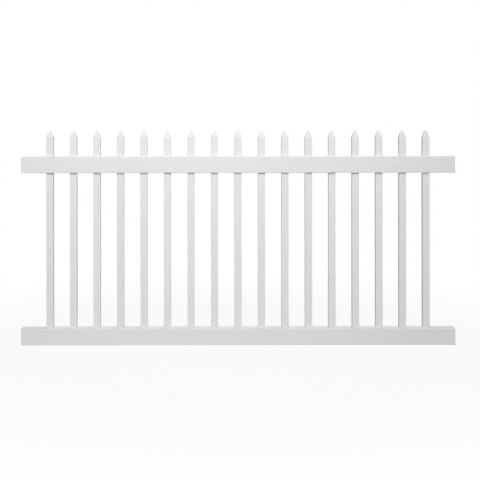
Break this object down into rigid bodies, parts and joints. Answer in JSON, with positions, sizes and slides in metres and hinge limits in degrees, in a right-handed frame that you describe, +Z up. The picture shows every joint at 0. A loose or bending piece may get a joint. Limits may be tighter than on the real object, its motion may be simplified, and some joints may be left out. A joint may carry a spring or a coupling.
{
  "type": "picket fence panel",
  "caption": "Straight-topped picket fence panel: hollow top and bottom rails carrying a row of slim through pickets, each with a pointed cap, to hang between posts as a low garden fence.",
  "frame": {"origin": "on the left end face of the bottom rail, at the middle of its lower edge", "axes": "+X along the panel towards its right end, +Y from the front to the back, +Z up"},
  "size_m": [2.3368, 0.0508, 1.1557],
  "materials": {
    "rail_vinyl": "satin white extruded vinyl",
    "picket_vinyl": "satin white extruded vinyl",
    "cap_vinyl": "satin white moulded vinyl"
  },
  "bodies": {
    "root": {"bottom_rail": "rail_vinyl", "top_rail": "rail_vinyl", "picket_01": "picket_vinyl", "picket_02": "picket_vinyl", "picket_03": "picket_vinyl", "picket_04": "picket_vinyl", "picket_05": "picket_vinyl", "picket_06": "picket_vinyl", "picket_07": "picket_vinyl", "picket_08": "picket_vinyl", "picket_09": "picket_vinyl", "picket_10": "picket_vinyl", "picket_11": "picket_vinyl", "picket_12": "picket_vinyl", "picket_13": "picket_vinyl", "picket_14": "picket_vinyl", "picket_15": "picket_vinyl", "picket_16": "picket_vinyl", "picket_17": "picket_vinyl", "picket_cap_01": "cap_vinyl", "picket_cap_02": "cap_vinyl", "picket_cap_03": "cap_vinyl", "picket_cap_04": "cap_vinyl", "picket_cap_05": "cap_vinyl", "picket_cap_06": "cap_vinyl", "picket_cap_07": "cap_vinyl", "picket_cap_08": "cap_vinyl", "picket_cap_09": "cap_vinyl", "picket_cap_10": "cap_vinyl", "picket_cap_11": "cap_vinyl", "picket_cap_12": "cap_vinyl", "picket_cap_13": "cap_vinyl", "picket_cap_14": "cap_vinyl", "picket_cap_15": "cap_vinyl", "picket_cap_16": "cap_vinyl", "picket_cap_17": "cap_vinyl"}
  },
  "joints": []
}
